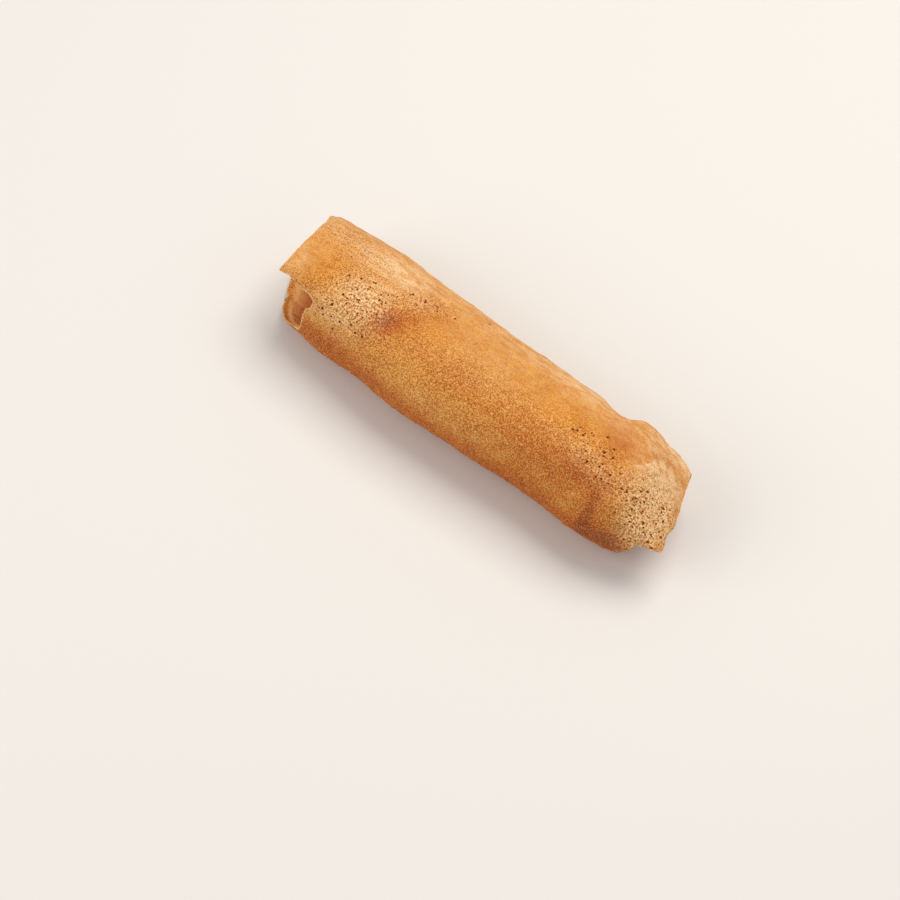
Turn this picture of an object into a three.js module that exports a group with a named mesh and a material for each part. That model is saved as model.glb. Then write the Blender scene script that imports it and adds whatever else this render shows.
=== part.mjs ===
// A fried spring roll: a sleeve of crisp wrapper, pressed flat where it rests. One mouth is torn open down its
// side, and the skin droops over the other. Millimetres. X runs along the roll with the torn mouth at -X, Y
// across it and Z up. The origin is under the middle of the roll, on the surface that it lies on.
import * as THREE from "three";
import { mergeVertices } from "three/addons/utils/BufferGeometryUtils.js";

// Driving dimensions.
const WALL = 1.3; // thickness of the wrapper where its edge shows
const LAP = 0.8; // step where the wrapper's free edge lies on the turn below it
const LAP_TURN = 215; // where that edge runs, in degrees round the roll
const ROUNDNESS = 2.3; // exponent of the section: 2 is an ellipse, more is squarer
const UNEVEN = 0.28; // height of the skin's broad waves

// The flat foot that the roll is pressed on: a rectangle from one x to the other, with the middle and half of
// its width, the columns that it takes, and how far the skin beside it stays off the floor at least.
const FOOT = { from: -41, to: 41, middle: 0.2, half: 5.5, columns: [45, 51], clear: 0.5 };

// Sections along the roll: x, half of the width, drift of the middle towards +Y, and the heights of the
// crown, of the widest level and of the underside.
const SECTIONS = [
  { x: -57, half: 15.35, drift: 1.4, crown: 25.0, waist: 12.4, keel: 1.6 },
  { x: -45, half: 15.45, drift: 1.4, crown: 26.6, waist: 12.8, keel: 0.0 },
  { x: -30, half: 15.9, drift: 0.9, crown: 26.8, waist: 13.2, keel: -0.2 },
  { x: -14, half: 16.5, drift: 0.2, crown: 27.0, waist: 13.2, keel: -0.2 },
  { x: 0, half: 15.9, drift: 0.0, crown: 26.8, waist: 13.0, keel: -0.2 },
  { x: 15, half: 15.6, drift: 0.3, crown: 26.6, waist: 13.0, keel: -0.2 },
  { x: 30, half: 15.4, drift: 0.1, crown: 26.8, waist: 12.8, keel: -0.2 },
  { x: 40, half: 15.85, drift: 0.0, crown: 26.4, waist: 12.8, keel: -0.1 },
  { x: 48, half: 15.2, drift: 0.5, crown: 25.0, waist: 12.3, keel: 0.3 },
  { x: 53, half: 14.2, drift: 1.2, crown: 22.0, waist: 11.7, keel: 0.6 },
  { x: 61, half: 13.3, drift: 1.5, crown: 16.6, waist: 10.9, keel: 1.0 },
];

// The wrapper's edge at each end, as [turn, x]: turn 0 faces -Y, 90 the top, 180 +Y and -90 the underside.
const TORN_EDGE = [
  [-112, -62.6], [-96, -62.6], [-88, -61.3], [-76, -59.3], [-65, -57.6], [-54, -56.0], [-38, -53.5],
  [-27, -50.9], [-20, -48.2], [-10, -46.9], [2, -46.5], [14, -46.4], [21, -46.1], [30, -44.8], [38, -44.9],
  [42, -46.9], [45, -57.4], [60, -56.9], [90, -56.4], [120, -56.6], [150, -57.7], [170, -57.0], [200, -58.4],
  [224, -61.4],
];
const DROOPED_EDGE = [
  [-160, 55.0], [-120, 54.6], [-90, 54.2], [-60, 53.2], [-35, 52.2], [-16, 52.0], [0, 55.2], [10, 55.8],
  [16, 56.0], [19, 57.8], [22, 57.0], [26, 59.8], [33, 62.0], [40, 62.2], [50, 61.8], [70, 61.1], [84, 60.0],
  [95, 58.9], [110, 57.6], [125, 56.8], [138, 56.1], [155, 55.4], [176, 55.3],
];

// Both ends: the nominal place of the rim, its edge, which way is inwards, and the depth of the mouth.
const TORN_END = { rim: -57, edge: TORN_EDGE, inwards: 1, depth: 21 };
const DROOPED_END = { rim: 57, edge: DROOPED_EDGE, inwards: -1, depth: 15 };
const EDGE_REACH = 30; // how far in from a rim the rings of the skin still follow its edge
const FOLD_WAVE = 1.5; // how far the fold that shuts a mouth rises and falls across the roll
const FOLD_NARROWS = 0.14; // share of its width that a mouth loses towards that fold

// Dents (push below 0) and bumps: place, reach along and round the roll, slant of the long way, and height.
const DENTS = [
  { x: -25, turn: 79, along: 5, round: 4, slant: 20, push: -0.8 },
  { x: -37, turn: 8, along: 8, round: 6, slant: 0, push: -1.2 },
  { x: 31, turn: 148, along: 6, round: 6, slant: 0, push: -0.8 },
  { x: 41, turn: 93, along: 4, round: 4, slant: 30, push: -0.7 },
  { x: 39, turn: 37, along: 6, round: 7, slant: -20, push: -1.0 },
  { x: 56, turn: 100, along: 8, round: 2.2, slant: -37, push: -0.8 },
  { x: 42, turn: 150, along: 4, round: 6, slant: 0, push: 0.8 },
];
const MEAN_RADIUS = 15; // turns a difference of turn into millimetres round the roll

// Resolution of the solid.
const AROUND = 68; // columns round the roll
const CROWDING = 0.3; // how much closer the columns stand on the torn side
const END_STEP = 1.3; // between rings of the skin at the rims
const MIDDLE_STEP = 3.0; // and half way along
const INNER_STEP = 2.4; // between rings inside a mouth

const radians = THREE.MathUtils.degToRad;
const toPower = (value, power) => Math.sign(value) * Math.abs(value) ** power;

// Smooth curve through the values of one size at its places.
function through(places, values, at) {
  const last = places.length - 1;
  const place = THREE.MathUtils.clamp(at, places[0], places[last]);
  const i = Math.min(places.findLastIndex((p) => p <= place), last - 1);
  const slope = (k) => {
    const before = Math.max(k - 1, 0);
    const after = Math.min(k + 1, last);
    return (values[after] - values[before]) / (places[after] - places[before]);
  };
  const span = places[i + 1] - places[i];
  const t = (place - places[i]) / span;
  return (
    values[i] * (1 + 2 * t) * (1 - t) ** 2 +
    values[i + 1] * t * t * (3 - 2 * t) +
    slope(i) * span * t * (1 - t) ** 2 -
    slope(i + 1) * span * t * t * (1 - t)
  );
}

function sectionAt(x) {
  const places = SECTIONS.map((section) => section.x);
  const size = (key) => through(places, SECTIONS.map((section) => section[key]), x);
  return {
    half: size("half"),
    drift: size("drift"),
    crown: size("crown"),
    waist: size("waist"),
    keel: size("keel"),
  };
}

// x of an edge at one turn, by straight lines between its points and on round to the first.
function edgeAt(edge, turn) {
  const [firstTurn, firstX] = edge[0];
  const closed = [...edge, [firstTurn + 360, firstX]];
  const at = firstTurn + THREE.MathUtils.euclideanModulo(turn - firstTurn, 360);
  const i = Math.min(closed.findLastIndex(([t]) => t <= at), edge.length - 1);
  const [t0, x0] = closed[i];
  const [t1, x1] = closed[i + 1];
  return THREE.MathUtils.mapLinear(at, t0, t1, x0, x1);
}

// The step down from the wrapper's free edge, spread evenly over the turn before it, as a spiral has it.
function lapAt(x, turn) {
  const edgeTurn = LAP_TURN + 3 * Math.sin(x / 17);
  const past = THREE.MathUtils.euclideanModulo(turn - edgeTurn, 360);
  const climb = 352; // the step itself takes the last 8 degrees
  return LAP * (past < climb ? 0.5 - past / climb : (past - climb) / (360 - climb) - 0.5);
}

function dentAt(dent, x, turn) {
  const across = THREE.MathUtils.euclideanModulo(turn - dent.turn + 180, 360) - 180;
  const dx = x - dent.x;
  const dr = radians(across) * MEAN_RADIUS;
  const slant = radians(dent.slant);
  const along = (dx * Math.cos(slant) + dr * Math.sin(slant)) / dent.along;
  const round = (dr * Math.cos(slant) - dx * Math.sin(slant)) / dent.round;
  return dent.push * Math.exp(-along * along - round * round);
}

// How far the skin stands out from its smooth section.
function reliefAt(x, turn) {
  const a = radians(turn);
  const waves =
    Math.sin(x / 6.1 + 2.1 * Math.sin(a)) +
    0.7 * Math.sin(x / 3.9 - 3.0 * Math.cos(a) + 1.7) +
    0.6 * Math.sin(x / 9.5 + 2.0 * Math.cos(2 * a));
  const lying = THREE.MathUtils.smoothstep(-Math.sin(a), 0.6, 0.9);
  const dents = DENTS.reduce((sum, dent) => sum + dentAt(dent, x, turn), 0);
  return lapAt(x, turn) + dents + UNEVEN * waves * 0.5 * (1 - lying);
}

// Rings from the fold inside a mouth out to its edge. Each has its depth behind the rim, how far it lies under
// the skin, and the share of the mouth's height that is still open there.
function mouthRings(end) {
  const count = Math.round(end.depth / INNER_STEP);
  const inside = Array.from({ length: count + 1 }, (_, i) => {
    const depth = (end.depth * (count - i)) / count;
    const fold = THREE.MathUtils.smoothstep(depth / end.depth, 0.45, 1);
    return { end, depth: depth + 0.4 * WALL, inset: WALL + 0.05 * depth, open: 1 - fold };
  });
  const edge = [0.75, 0.25].map((share) => ({ end, depth: 0, inset: share * WALL, open: 1 }));
  return [...inside, ...edge];
}

// Rings of the skin from rim to rim, closest together at the ends.
function skinRings() {
  const length = DROOPED_END.rim - TORN_END.rim - WALL;
  const rings = [];
  let along = 0;
  while (along < length) {
    rings.push({ x: TORN_END.rim + WALL / 2 + along, inset: 0, open: 1 });
    along += THREE.MathUtils.lerp(END_STEP, MIDDLE_STEP, Math.sin((Math.PI * along) / length));
  }
  return rings;
}

const RINGS = [...mouthRings(TORN_END), ...skinRings(), ...mouthRings(DROOPED_END).reverse()];

// How far a place at some distance behind a rim is drawn along X by the shape of the rim's edge.
function drawnBy(end, turn, distance, reach) {
  return (edgeAt(end.edge, turn) - end.rim) * Math.max(0, 1 - distance / reach) ** 1.3;
}

function ringX(ring, turn) {
  const { end } = ring;
  if (end) return end.rim + end.inwards * ring.depth + drawnBy(end, turn, ring.depth, end.depth);
  const fromTorn = drawnBy(TORN_END, turn, ring.x - TORN_END.rim, EDGE_REACH);
  const fromDrooped = drawnBy(DROOPED_END, turn, DROOPED_END.rim - ring.x, EDGE_REACH);
  return ring.x + fromTorn + fromDrooped;
}

// Whether a point of the skin belongs to the foot.
function onFoot(ring, column) {
  const [first, last] = FOOT.columns;
  return !ring.end && ring.x >= FOOT.from && ring.x <= FOOT.to && column >= first && column <= last;
}

// A point of a ring. Towards the fold inside a mouth both of its sides close on the level between them.
function placeAt(ring, column) {
  if (onFoot(ring, column)) {
    const across = THREE.MathUtils.mapLinear(column, ...FOOT.columns, FOOT.half, -FOOT.half);
    return new THREE.Vector3(ring.x, FOOT.middle + across, 0);
  }
  const turn = turnOf(column);
  const x = ringX(ring, turn);
  const section = sectionAt(x);
  const cos = toPower(Math.cos(radians(turn)), 2 / ROUNDNESS);
  const sin = toPower(Math.sin(radians(turn)), 2 / ROUNDNESS);
  const above = section.crown - section.waist - ring.inset;
  const below = section.waist - section.keel - ring.inset;
  const fold = ((above - below) / 2) * Math.abs(sin) + FOLD_WAVE * Math.sin(4 * cos + 1);
  const height = sin * (sin > 0 ? above : below);
  const relief = reliefAt(x, turn) * ring.open;
  const reach = (section.half - ring.inset + relief) * (1 - FOLD_NARROWS * (1 - ring.open));
  const z = section.waist + THREE.MathUtils.lerp(fold, height, ring.open) + sin * relief;
  return new THREE.Vector3(x, section.drift - cos * reach, Math.max(z, FOOT.clear + ring.inset));
}

// Turn of a column, in degrees: the same to both sides of 0, and closest together there.
function turnOf(column) {
  const even = (2 * Math.PI * column) / AROUND;
  return THREE.MathUtils.radToDeg(even - CROWDING * Math.sin(even));
}

// The whole wrapper, from an open sleeve whose rings are placed one by one. Each end closes where the two
// sides of its last ring meet in a fold.
function wrapper() {
  const sleeve = new THREE.CylinderGeometry(1, 1, 1, AROUND, RINGS.length - 1, true);
  const position = sleeve.getAttribute("position");
  for (let k = 0; k < position.count; k += 1) {
    const ring = RINGS[Math.floor(k / (AROUND + 1))];
    const column = (k % (AROUND + 1)) % AROUND;
    const point = placeAt(ring, column);
    position.setXYZ(k, point.x, point.y, point.z);
  }
  sleeve.deleteAttribute("normal");
  sleeve.deleteAttribute("uv");
  const closed = mergeVertices(sleeve, 1e-4);
  closed.computeVertexNormals();
  return closed;
}

const fried = new THREE.MeshStandardMaterial({ color: "#c8853f", roughness: 0.6, metalness: 0 });
const springRoll = new THREE.Mesh(wrapper(), fried);
springRoll.name = "spring_roll";

const group = new THREE.Group();
group.name = "fried_spring_roll";
group.add(springRoll);

export default group;
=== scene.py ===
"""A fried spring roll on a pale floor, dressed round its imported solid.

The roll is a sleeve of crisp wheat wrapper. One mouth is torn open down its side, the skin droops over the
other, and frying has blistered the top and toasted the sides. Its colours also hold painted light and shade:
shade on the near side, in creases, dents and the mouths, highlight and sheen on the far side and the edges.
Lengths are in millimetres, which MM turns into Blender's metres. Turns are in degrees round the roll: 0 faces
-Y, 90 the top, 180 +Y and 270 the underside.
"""

import logging
import math
import random
from bisect import bisect_right
from collections.abc import Mapping, Sequence
from dataclasses import dataclass, field
from enum import Enum
from itertools import pairwise
from typing import Any

import bmesh
import bpy
from mathutils import Matrix, Vector, kdtree, noise


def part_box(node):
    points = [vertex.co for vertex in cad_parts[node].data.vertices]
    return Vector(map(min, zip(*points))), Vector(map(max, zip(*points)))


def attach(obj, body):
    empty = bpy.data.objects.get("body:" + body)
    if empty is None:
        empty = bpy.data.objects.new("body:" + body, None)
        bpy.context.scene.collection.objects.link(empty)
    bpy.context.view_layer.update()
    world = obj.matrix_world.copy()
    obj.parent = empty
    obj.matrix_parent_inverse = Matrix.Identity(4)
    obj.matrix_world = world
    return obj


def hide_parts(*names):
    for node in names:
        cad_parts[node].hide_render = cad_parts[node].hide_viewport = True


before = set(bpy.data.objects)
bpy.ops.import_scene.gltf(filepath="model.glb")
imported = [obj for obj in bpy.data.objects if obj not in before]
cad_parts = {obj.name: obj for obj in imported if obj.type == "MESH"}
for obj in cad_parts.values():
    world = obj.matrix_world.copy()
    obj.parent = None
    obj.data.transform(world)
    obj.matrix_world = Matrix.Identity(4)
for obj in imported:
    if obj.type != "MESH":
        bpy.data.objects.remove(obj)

MM = 0.001
NODE = "spring_roll"
BODY = "root"
MEAN_RADIUS = 15.0  # turns a difference of turn into millimetres round the roll
log = logging.getLogger("spring_roll")


class Mask(Enum):
    """A mask that the wrapper's mesh carries to its material, from 0 to 1 at each vertex, but for TOAST_AND_SHADE."""

    TOAST_AND_SHADE = "toast"  # reddish brown from longer contact with the hot fat, with painted shade on the near side, in creases and in dents that turn from the light, and up to 1.6 where it is darkest
    PALE_AND_SHEEN = "pale"  # dry and cream, and painted highlight and sheen where the skin faces the light
    LACE = "lace"  # small burst blisters close together
    PITTED = "pitted"  # how close together the pinholes are
    PIT = "pit"  # a blister that has burst open
    RIM = "rim"  # broken edge of the sheet: pale crumbs where the break is fresh, and a painted highlight along the rest of the edge
    INSIDE = "inside"  # depth in a mouth, which darkens its lining with painted shade


def smooth_step(value: float, low: float, high: float) -> float:
    """Rises from 0 at low to 1 at high, level at both.

    Args:
        value: Where on the step.
        low: Where it starts.
        high: Where it ends, below low for a step that falls.

    Returns:
        The height of the step there.
    """
    t = min(max((value - low) / (high - low), 0.0), 1.0)
    return t * t * (3 - 2 * t)


def mix(low: float, high: float, share: float) -> float:
    """The number that lies the given share of the way from low to high."""
    return low + (high - low) * share


def bell(distance: float, width: float) -> float:
    """A bell that is 1 at no distance, and about a third at its width."""
    return math.exp(-((distance / width) ** 2))


def to_power(value: float, power: float) -> float:
    """A power that keeps the sign of its base."""
    return math.copysign(abs(value) ** power, value)


def turn_apart(turn: float, other: float) -> float:
    """The signed way round from one turn to another, from -180 to 180 degrees."""
    return (turn - other + 180) % 360 - 180


def within(turn: float, turns: tuple[float, float], margin: float) -> float:
    """How far a turn lies within a range of turns: 1 inside it, falling to 0 at the margin beyond."""
    middle, half = sum(turns) / 2, (turns[1] - turns[0]) / 2
    return 1 - smooth_step(abs(turn_apart(turn, middle)), half, half + margin)


@dataclass(frozen=True)
class Section:
    """A section across the roll.

    Its sizes are its place along X, half of its width, the drift of its middle towards +Y, and the heights of
    the crown, of the widest level and of the underside.
    """

    x: float
    half: float
    drift: float
    crown: float
    waist: float
    keel: float


@dataclass(frozen=True)
class Patch:
    """A soft oval patch of skin: its place, its reach along and round the roll, its slant and its amount."""

    x: float
    turn: float
    along: float
    round: float
    slant: float
    amount: float

    def at(self, x: float, turn: float) -> float:
        """How strongly the patch is felt at a place.

        Args:
            x: Place along the roll.
            turn: Place round it.

        Returns:
            The patch's amount in its middle, less towards its edge.
        """
        dx = x - self.x
        dr = math.radians(turn_apart(turn, self.turn)) * MEAN_RADIUS
        cos, sin = math.cos(math.radians(self.slant)), math.sin(math.radians(self.slant))
        along = (dx * cos + dr * sin) / self.along
        across = (dr * cos - dx * sin) / self.round
        return self.amount * math.exp(-along * along - across * across)


def patches(*rows: tuple[float, ...]) -> tuple[Patch, ...]:
    """Patches from rows of their place, turn, reach along and round the roll, slant and amount."""
    return tuple(Patch(*row) for row in rows)


def felt(some: Sequence[Patch], x: float, turn: float) -> float:
    """The sum of some patches at one place."""
    return sum(patch.at(x, turn) for patch in some)


@dataclass(frozen=True)
class Mouth:
    """An open end of the roll.

    Its sizes are the nominal place of the rim, which way is inwards, the depth of the opening, how far in
    from the rim the skin's rings follow its edge, the edge as (turn, x), the turns between which that edge is
    torn, and those between which the break is fresh and pale.
    """

    rim: float
    inwards: int
    depth: float
    reach: float
    edge: tuple[tuple[float, float], ...]
    torn: tuple[float, float]
    fresh: tuple[float, float]
    torn_margin: float = 12.0
    fresh_margin: float = 6.0
    coarse: float = 0.5  # how far the torn edge strays in broad waves, and the length of one
    coarse_mm: float = 2.7
    fine: float = 0.42  # how far it strays in small teeth, and the length of one
    fine_mm: float = 0.8
    whole: float = 0.3  # share of this by which a whole edge strays
    stale_highlight: float = 0.25  # painted highlight: how pale the edge is where the break isn't fresh
    easing: float = 1.3  # how soon the rings behind the rim lose the shape of the edge
    slope_turn: float = 1.5  # half of the turn over which the slope of the edge is taken

    def torn_at(self, turn: float) -> float:
        """How badly the edge is torn at a turn, from 0 where it is whole to 1."""
        return within(turn, self.torn, self.torn_margin)

    def fresh_at(self, turn: float) -> float:
        """How pale the edge is at a turn: crumbly where the break is fresh, and a painted highlight
        elsewhere.
        """
        return mix(self.stale_highlight, 1.0, within(turn, self.fresh, self.fresh_margin))

    def edge_at(self, turn: float) -> float:
        """Where the edge of the sheet lies along X.

        Args:
            turn: Place round the roll.

        Returns:
            Its x, by straight lines between the edge's points, with the ragged teeth of a break.
        """
        first = self.edge[0][0]
        at = first + (turn - first) % 360
        points = (*self.edge, (first + 360, self.edge[0][1]))
        i = min(bisect_right(points, (at, math.inf)) - 1, len(self.edge) - 1)
        (turn0, x0), (turn1, x1) = points[i], points[i + 1]
        straight = mix(x0, x1, (at - turn0) / (turn1 - turn0))
        arc = math.radians(at) * MEAN_RADIUS
        waves = self.coarse * noise.noise((arc / self.coarse_mm, self.rim, 0))
        teeth = self.fine * noise.noise((arc / self.fine_mm, 0, self.rim))
        return straight + mix(self.whole, 1.0, self.torn_at(turn)) * (waves + teeth)

    def behind(self, x: float, turn: float) -> float:
        """How far a point of the skin lies behind the edge.

        Args:
            x: The point's place along the roll.
            turn: Its place round it.

        Returns:
            Roughly the distance to the edge, however steeply the edge runs there.
        """
        rise = self.edge_at(turn + self.slope_turn) - self.edge_at(turn - self.slope_turn)
        slope = rise / (math.radians(2 * self.slope_turn) * MEAN_RADIUS)
        return abs(x - self.edge_at(turn)) / math.hypot(1.0, slope)

    def drawn(self, turn: float, distance: float, reach: float) -> float:
        """How far a ring some distance behind the rim is drawn along X by the shape of the edge."""
        return (self.edge_at(turn) - self.rim) * max(0.0, 1 - distance / reach) ** self.easing


@dataclass(frozen=True)
class Ring:
    """A ring of vertices: on the skin at x, or in a mouth at a depth behind its rim.

    inset is how far it lies under the skin, and open the share of the mouth's height that is left there.
    """

    x: float = 0.0
    mouth: Mouth | None = None
    depth: float = 0.0
    inset: float = 0.0
    open: float = 1.0


@dataclass(frozen=True)
class Crease:
    """A soft crease in the skin, as a chain of (x, turn), with a ridge before it and a strip beyond it."""

    chain: tuple[tuple[float, float], ...]
    depth: float
    width: float
    strip: float  # how far the skin beyond the crease is turned down
    strip_start: float = 2.5  # how far beyond the crease the strip is turned down in full
    strip_width: float = 6.0
    ridge: float = 0.6  # height of the ridge, in depths of the crease
    ridge_before: float = 1.9  # how far before the crease it runs and how broad it is, in the crease's widths
    ridge_width: float = 1.3

    def beyond(self, x: float, turn: float) -> float:
        """How far a place lies beyond the crease, in millimetres: negative before it.

        Args:
            x: Place along the roll.
            turn: Place round it.

        Returns:
            The signed distance from the chain.
        """
        place = Vector((x, math.radians(turn % 360) * MEAN_RADIUS))
        nearest, side = math.inf, 1.0
        for (x0, turn0), (x1, turn1) in pairwise(self.chain):
            start = Vector((x0, math.radians(turn0) * MEAN_RADIUS))
            run = Vector((x1, math.radians(turn1) * MEAN_RADIUS)) - start
            share = min(max((place - start).dot(run) / run.length_squared, 0.0), 1.0)
            away = place - start - run * share
            if away.length < nearest:
                nearest = away.length
                side = math.copysign(1.0, run.x * away.y - run.y * away.x)
        return nearest * side

    def at(self, beyond: float) -> float:
        """How far the crease moves the skin outwards.

        Args:
            beyond: The distance beyond the crease.

        Returns:
            The move, less than 0 in the groove and on the strip.
        """
        groove = -self.depth * bell(beyond, self.width)
        crest = bell(beyond + self.ridge_before * self.width, self.ridge_width * self.width)
        return groove + self.ridge * self.depth * crest - self.strip * self.strip_at(beyond)

    def strip_at(self, beyond: float) -> float:
        """How much a place belongs to the strip beyond the crease."""
        return smooth_step(beyond, 0.0, self.strip_start) * bell(beyond, self.strip_width)


@dataclass(frozen=True)
class Foot:
    """The flat rectangle that the roll is pressed on.

    Its sizes are its ends, the middle and half of its width, how far the skin beside it stays off the floor,
    and how far past its edge the skin starts and ends its way up.
    """

    start: float = -40.2
    end: float = 39.0
    middle: float = 0.2
    half: float = 5.5
    clear: float = 0.5
    way_up: tuple[float, float] = (-0.2, 1.4)

    def press(self, x: float, y: float, z: float) -> float:
        """The height of the underside there, once pressed."""
        beside = max(self.start - x, x - self.end, abs(y - self.middle) - self.half)
        return mix(0.0, max(z, self.clear), smooth_step(beside, *self.way_up))


@dataclass(frozen=True)
class Flap:
    """The flap of skin over the tear: its corner droops, and its lower edge is frayed.

    Each of the two has the turn of its middle, its reach round the roll, and the distances from the middle of
    the roll between which it sets in.
    """

    corner_turn: float = 49.0
    corner_reach: float = 6.0
    corner_from: tuple[float, float] = (53.5, 57.4)
    droop: float = 5.0
    frayed_turn: float = 42.0
    frayed_reach: float = 4.0
    frayed_from: tuple[float, float] = (43.0, 46.0)
    fray: float = 2.4
    shred_mm: float = 0.8  # length of a small shred and of a large one, and the share of the large ones
    tuft_mm: float = 2.0
    tufts: float = 0.9

    def drooping(self, x: float, turn: float) -> float:
        """Where the flap's droop and its fraying bring a point.

        Args:
            x: The point's place along the roll.
            turn: Its place round it.

        Returns:
            The turn that it is drawn to.
        """
        corner = bell(turn_apart(turn, self.corner_turn), self.corner_reach)
        corner *= smooth_step(-x, *self.corner_from)
        frayed = bell(turn_apart(turn, self.frayed_turn), self.frayed_reach)
        frayed *= smooth_step(-x, *self.frayed_from)
        ragged = noise.noise((x / self.shred_mm, 0, 0)) + self.tufts * noise.noise((x / self.tuft_mm, 5.0, 0))
        return turn - self.droop * corner + self.fray * frayed * ragged


@dataclass(frozen=True)
class Spot:
    """A blister or a pit: its middle on the skin, its radius, and how far it stands out."""

    middle: Vector
    radius: float
    height: float


@dataclass
class Form:
    """The roll's form: everything that decides where a point of the wrapper lies."""

    wall: float = 1.3
    lip: float = 0.5  # thickness of the outermost turn of wrapper, seen at the edges
    curl: float = 0.75  # how far the far side's rims curl in over their last millimetres
    curl_reach: float = 2.6
    near_curl: float = 0.25  # share of that curl on the near side
    curl_rise: tuple[float, float] = (75, 130)  # turns over which the curl grows, and over which it ends
    curl_fall: tuple[float, float] = (260, 210)
    lap: float = 0.8  # height of the step down from the wrapper's free edge
    lap_turn: float = 215.0
    lap_strays: float = 3.0
    lap_wave: float = 17.0
    lap_climb: float = 356.5  # the turn over which the wrapper rises to its free edge
    roundness: float = 2.3
    uneven: float = 0.28  # height of the broad waves, less on the part that the roll lies on
    lying: tuple[float, float] = (0.6, 0.9)  # how low on the round the broad waves end
    fold_wave: float = 1.5  # height of the waves of a pressed fold, and how many there are across it
    fold_waves: float = 4.0
    fold_narrows: float = 0.14
    sections: tuple[Section, ...] = (
        Section(-57, 15.35, 1.4, 25.0, 12.4, 1.6),
        Section(-45, 15.45, 1.4, 26.6, 12.8, 0.0),
        Section(-30, 15.9, 0.9, 26.8, 13.2, -0.2),
        Section(-14, 16.5, 0.2, 27.0, 13.2, -0.2),
        Section(0, 15.9, 0.0, 26.8, 13.0, -0.2),
        Section(15, 15.6, 0.3, 26.6, 13.0, -0.2),
        Section(30, 15.4, 0.1, 26.8, 12.8, -0.2),
        Section(40, 15.85, 0.0, 26.4, 12.8, -0.1),
        Section(48, 15.2, 0.5, 25.0, 12.3, 0.3),
        Section(53, 14.2, 1.2, 22.0, 11.7, 0.6),
        Section(61, 13.3, 1.5, 16.6, 10.9, 1.0),
    )
    torn_mouth: Mouth = Mouth(
        rim=-57, inwards=1, depth=21, reach=24, torn=(-60, 46), fresh=(-18, 42),
        edge=(
            (-112, -62.3), (-96, -62.0), (-88, -60.6), (-80, -59.5), (-74, -58.0), (-68, -58.0), (-62, -57.0),
            (-54, -56.0), (-38, -53.5), (-27, -50.9), (-20, -48.2), (-10, -46.9), (2, -46.5), (14, -46.4),
            (21, -46.1), (26, -44.9), (33, -44.9), (37, -45.6), (39.5, -47.4), (41, -49.6), (43.5, -52.0),
            (47, -54.6), (50, -57.4), (60, -56.9), (90, -56.6), (120, -57.1), (138, -58.3), (150, -58.4),
            (170, -57.2), (200, -58.4), (224, -61.4),
        ),
    )
    drooped_mouth: Mouth = Mouth(
        rim=57, inwards=-1, depth=15, reach=20, torn=(5, 32), fresh=(8, 30),
        edge=(
            (-160, 55.0), (-120, 54.6), (-90, 54.2), (-60, 53.2), (-35, 52.2), (-16, 52.0), (0, 55.2),
            (10, 55.8), (16, 56.0), (19, 57.8), (22, 57.0), (26, 59.8), (33, 61.9), (38, 62.0), (46, 61.5),
            (54, 60.9), (62, 60.6), (72, 60.9), (84, 60.0), (95, 58.9), (110, 57.6), (125, 56.8), (138, 56.1),
            (155, 55.4), (176, 55.3),
        ),
    )
    dents: tuple[Patch, ...] = patches(
        (-25, 79, 5, 4, 20, -0.8), (-37, 8, 8, 6, 0, -1.2), (33.5, 148, 4, 6, 0, -1.2),
        (26, 150, 5, 5, 0, 0.45), (-38, 147, 18, 7, 0, 0.5), (-39, -24, 7, 5, 0, 0.9),
        (22, -28, 22, 6, 0, -0.4), (41, 93, 4, 4, 30, -0.7), (39, 37, 6, 7, -20, -1.0),
        (56, 100, 8, 2.2, -37, -0.8), (41, 150, 4.5, 6, 0, 1.1),
    )
    crease: Crease = Crease(
        chain=((48.9, 102), (51, 110), (53.6, 109), (55.8, 106), (58, 95), (59.9, 84)),
        depth=0.5, width=0.8, strip=0.45,
    )
    foot: Foot = Foot()
    flap: Flap = Flap()
    places: list[float] = field(init=False)

    def __post_init__(self) -> None:
        """Lists the places of the sections."""
        self.places = [section.x for section in self.sections]

    def section_at(self, x: float) -> Section:
        """The section at any place, on smooth curves through the given ones.

        Args:
            x: Place along the roll.

        Returns:
            The section there, or the last one beyond either end.
        """
        last = len(self.places) - 1
        place = min(max(x, self.places[0]), self.places[last])
        i = min(bisect_right(self.places, place) - 1, last - 1)
        span = self.places[i + 1] - self.places[i]
        t = (place - self.places[i]) / span
        ends = ((1 + 2 * t) * (1 - t) ** 2, t * t * (3 - 2 * t))
        slopes = (span * t * (1 - t) ** 2, -span * t * t * (1 - t))

        def size(name: str) -> float:
            """One size of the section.

            Args:
                name: The size's name.

            Returns:
                Its value at the place.
            """
            before, here, there, after = (
                getattr(self.sections[min(max(k, 0), last)], name) for k in (i - 1, i, i + 1, i + 2)
            )
            start = (there - before) / (self.places[i + 1] - self.places[max(i - 1, 0)])
            end = (after - here) / (self.places[min(i + 2, last)] - self.places[i])
            return sum(w * v for w, v in zip((*ends, *slopes), (here, there, start, end)))

        return Section(x, size("half"), size("drift"), size("crown"), size("waist"), size("keel"))

    def lap_at(self, x: float, turn: float) -> float:
        """The step down from the wrapper's free edge, spread over the turn before it, as a spiral has it.

        Args:
            x: Place along the roll.
            turn: Place round it.

        Returns:
            How far the wrapper stands out there, half of the step up or down at most.
        """
        past = (turn - self.lap_turn - self.lap_strays * math.sin(x / self.lap_wave)) % 360
        if past < self.lap_climb:
            return self.lap * (0.5 - past / self.lap_climb)
        return self.lap * ((past - self.lap_climb) / (360 - self.lap_climb) - 0.5)

    def waves_at(self, x: float, turn: float) -> float:
        """Broad waves, dents and the lap.

        Args:
            x: Place along the roll.
            turn: Place round it.

        Returns:
            How far the skin stands out from its plain section.
        """
        a = math.radians(turn)
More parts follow.
